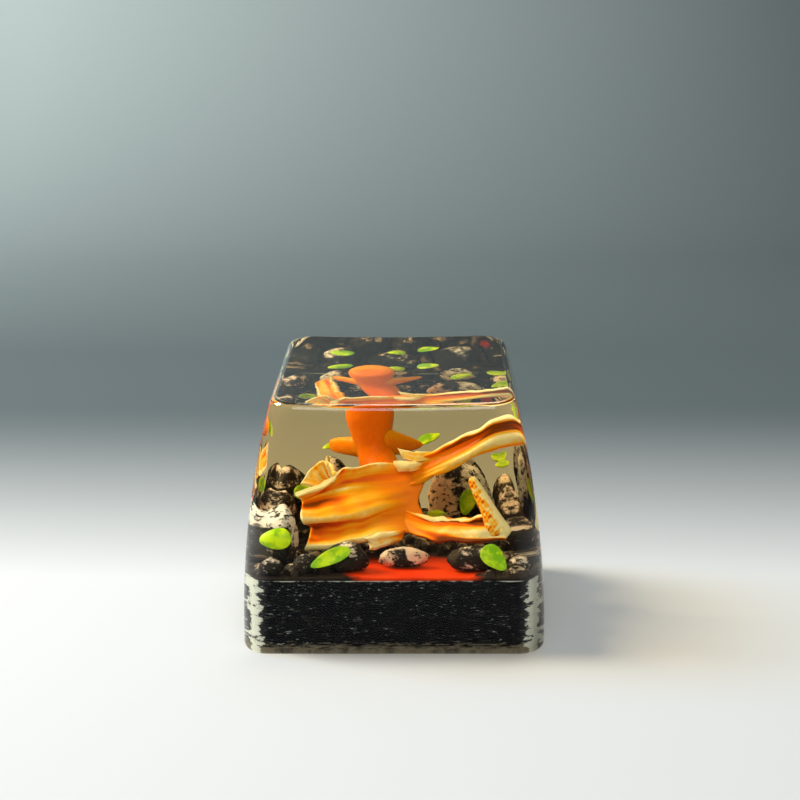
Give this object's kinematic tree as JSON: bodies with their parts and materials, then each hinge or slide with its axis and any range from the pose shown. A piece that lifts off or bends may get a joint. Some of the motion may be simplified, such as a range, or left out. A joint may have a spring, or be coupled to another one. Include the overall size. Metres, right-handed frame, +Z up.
{
  "type": "artisan keycap",
  "caption": "Tall keyboard keycap of clear cast resin on a black base with a cross stem socket, holding a goldfish, pebbles and water leaves.",
  "frame": {"origin": "middle of the bottom rim, on the surface that the keycap stands on", "axes": "+Z up through the top, +X to the typist's right, -Y towards the typist"},
  "size_m": [0.0182, 0.0182, 0.0164],
  "materials": {
    "clear_resin": "polished clear",
    "black_resin": "satin with fine scratches",
    "red_resin": "gloss",
    "orange_figure": "satin paint, paler at the fin edges",
    "green_leaf": "gloss",
    "dark_stone": "rough stone, brushed with white"
  },
  "bodies": {
    "root": {"black_base": "black_resin", "boulder_top_leaf": "green_leaf", "centre_left_pebble": "dark_stone", "centre_low_pebble": "dark_stone", "centre_right_pebble": "dark_stone", "clear_body": "clear_resin", "floor_layer": "red_resin", "front_left_leaf": "green_leaf", "front_left_low_pebble": "dark_stone", "front_left_pebble": "dark_stone", "front_middle_pebble": "dark_stone", "front_right_corner_pebble": "dark_stone", "front_right_leaf": "green_leaf", "front_right_low_pebble": "dark_stone", "front_right_pebble": "dark_stone", "front_stone_leaf": "green_leaf", "goldfish": "orange_figure", "left_boulder": "dark_stone", "left_front_corner_pebble": "dark_stone", "left_front_pebble": "dark_stone", "left_middle_pebble": "dark_stone", "left_rear_leaf": "green_leaf", "left_side_pebble": "dark_stone", "rear_centre_leaf": "green_leaf", "rear_centre_pebble": "dark_stone", "rear_corner_leaf": "green_leaf", "rear_left_corner_pebble": "dark_stone", "rear_left_leaf": "green_leaf", "rear_left_pebble": "dark_stone", "rear_right_corner_pebble": "dark_stone", "rear_right_leaf": "green_leaf", "rear_right_pebble": "dark_stone", "right_boulder": "dark_stone", "right_boulder_leaf": "green_leaf", "right_front_pebble": "dark_stone", "right_low_leaf": "green_leaf", "right_middle_leaf": "green_leaf", "right_side_pebble": "dark_stone"}
  },
  "joints": []
}
